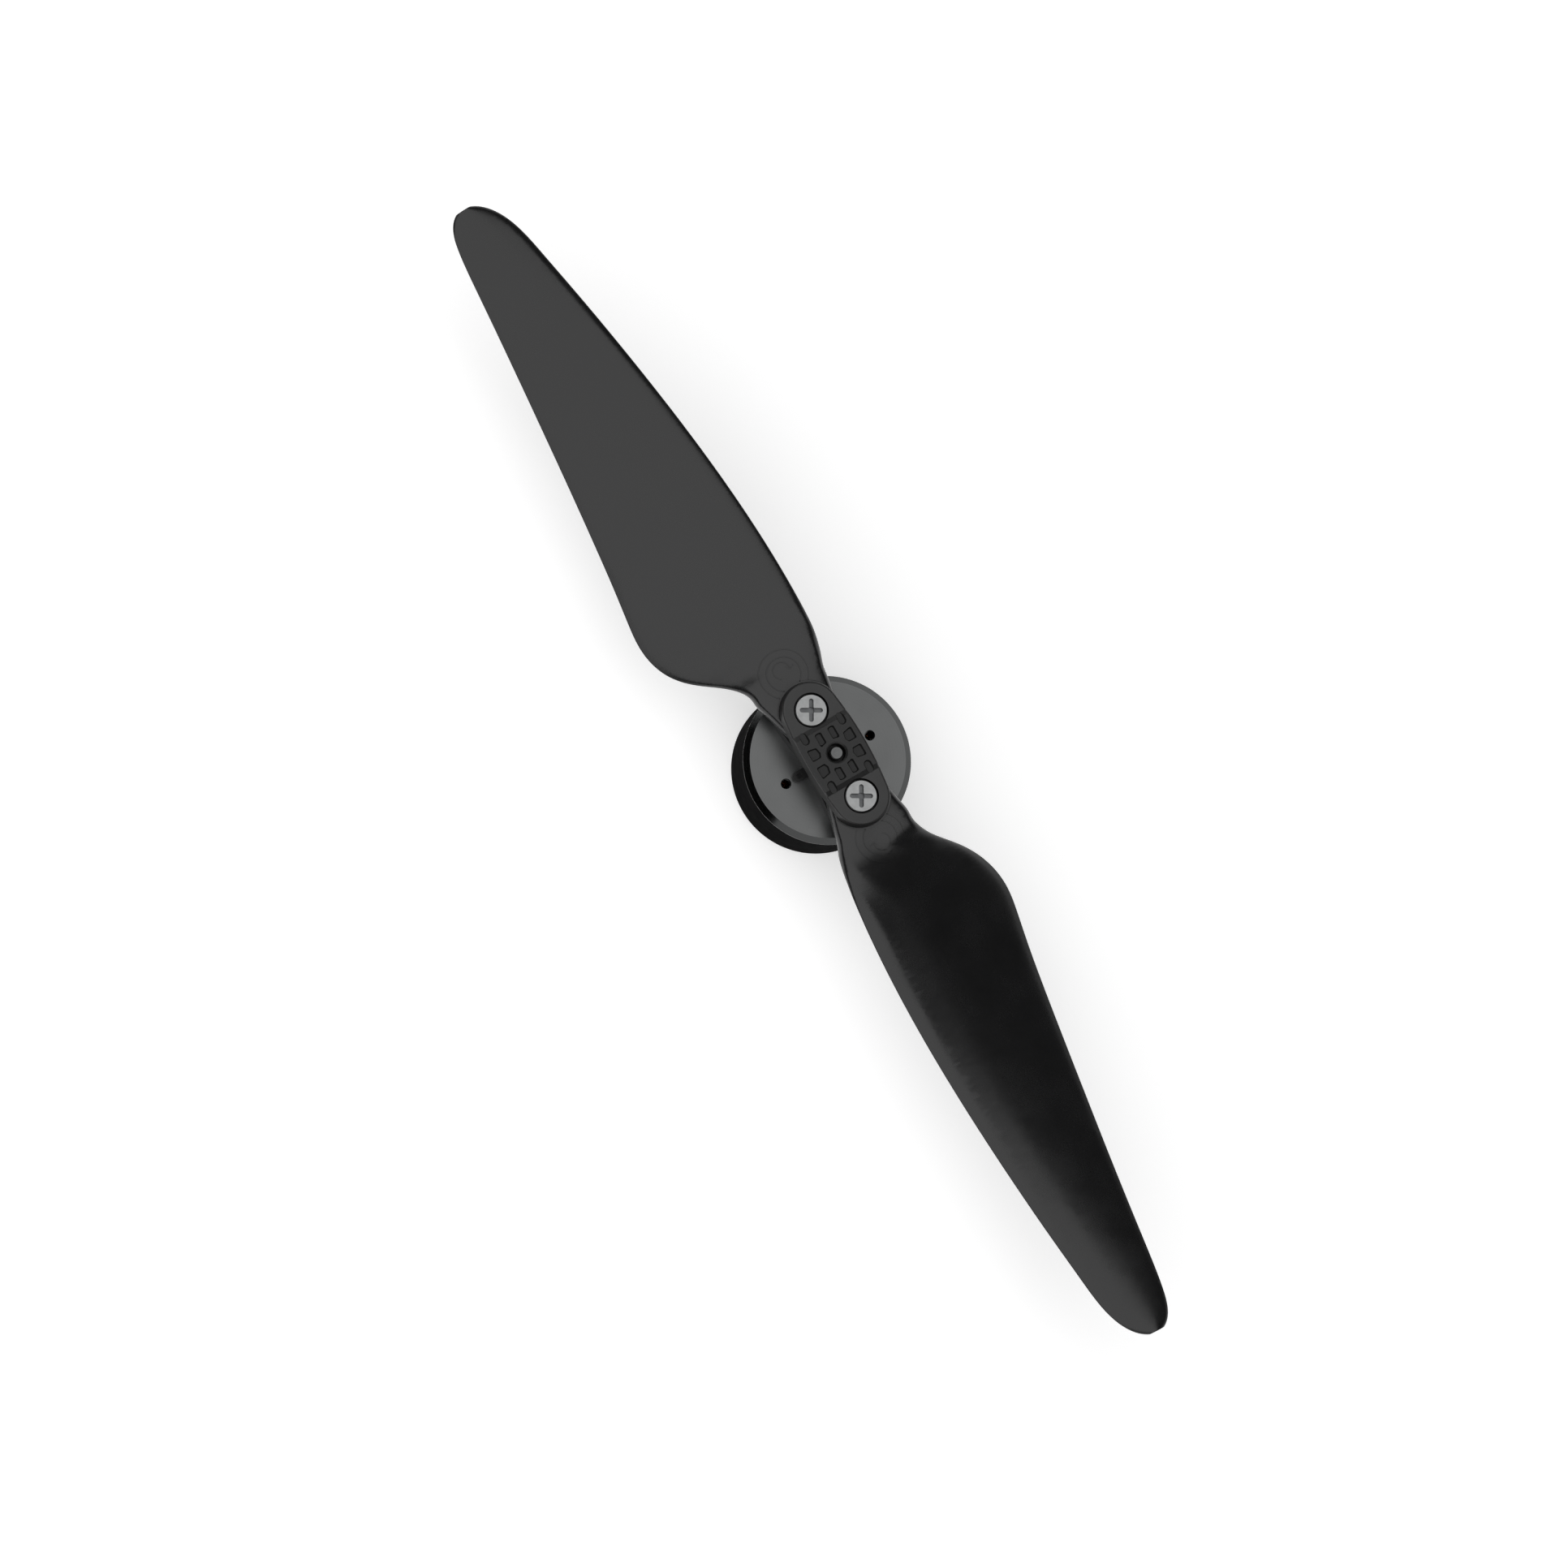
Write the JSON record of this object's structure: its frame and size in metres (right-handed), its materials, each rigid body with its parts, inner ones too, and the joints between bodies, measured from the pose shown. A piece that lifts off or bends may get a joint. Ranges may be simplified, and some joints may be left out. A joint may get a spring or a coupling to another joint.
{
  "type": "folding propeller",
  "caption": "Folding propeller with twisted plastic blades pinned between hub clamps, screwed to the bell of a small outrunner motor.",
  "frame": {"origin": "centre of the motor's mounting face", "axes": "+Z along the spin axis away from the mounting face, +X towards the pivot of blade A"},
  "size_m": [0.1963, 0.0301, 0.0263],
  "materials": {
    "blade_plastic": "satin black moulded nylon",
    "hub_plastic": "satin black moulded nylon",
    "washer_plastic": "natural PTFE",
    "screw_steel": "plated, cross recess",
    "bell_aluminium": "satin grey, turned",
    "base_aluminium": "satin grey, turned",
    "black_steel": "black, satin",
    "core_steel": "epoxy coated laminations",
    "enamelled_copper": "enamelled wire",
    "magnet_nickel": "nickel plate",
    "bearing_steel": "ground steel"
  },
  "bodies": {
    "stator": {"motor_base": "base_aluminium", "stator_core": "core_steel", "winding_1": "enamelled_copper", "winding_2": "enamelled_copper", "winding_3": "enamelled_copper", "winding_4": "enamelled_copper", "winding_5": "enamelled_copper", "winding_6": "enamelled_copper", "winding_7": "enamelled_copper", "winding_8": "enamelled_copper", "winding_9": "enamelled_copper", "lower_bearing_outer_ring": "bearing_steel", "lower_bearing_balls": "bearing_steel", "upper_bearing_outer_ring": "bearing_steel", "upper_bearing_balls": "bearing_steel"},
    "rotor": {"motor_shaft": "bearing_steel", "retaining_clip": "bearing_steel", "shim_washer_lower": "bearing_steel", "shim_washer_upper": "bearing_steel", "lower_bearing_inner_ring": "bearing_steel", "upper_bearing_inner_ring": "bearing_steel", "bell_cap": "bell_aluminium", "flux_ring": "black_steel", "magnet_01": "magnet_nickel", "magnet_02": "magnet_nickel", "magnet_03": "magnet_nickel", "magnet_04": "magnet_nickel", "magnet_05": "magnet_nickel", "magnet_06": "magnet_nickel", "magnet_07": "magnet_nickel", "magnet_08": "magnet_nickel", "magnet_09": "magnet_nickel", "magnet_10": "magnet_nickel", "magnet_11": "magnet_nickel", "magnet_12": "magnet_nickel", "hub_base": "hub_plastic", "hub_cap": "hub_plastic", "pivot_screw_a": "screw_steel", "pivot_screw_b": "screw_steel", "pivot_sleeve_a": "bearing_steel", "pivot_sleeve_b": "bearing_steel", "friction_washer_a_lower": "washer_plastic", "friction_washer_a_upper": "washer_plastic", "friction_washer_b_lower": "washer_plastic", "friction_washer_b_upper": "washer_plastic"},
    "blade_a": {"blade_a": "blade_plastic"},
    "blade_b": {"blade_b": "blade_plastic"}
  },
  "joints": [
    {"name": "rotor_spin", "type": "hinge", "parent": "stator", "child": "rotor", "pos_m": [0, 0, 0.0088], "axis": [0, 0, 1], "continuous": true},
    {"name": "blade_a_fold", "type": "hinge", "parent": "rotor", "child": "blade_a", "pos_m": [0.0074, 0, 0.02215], "axis": [0, 0, 1], "range_deg": [-93, 87]},
    {"name": "blade_b_fold", "type": "hinge", "parent": "rotor", "child": "blade_b", "pos_m": [-0.0074, 0, 0.02215], "axis": [0, 0, 1], "range_deg": [-87, 93]}
  ]
}
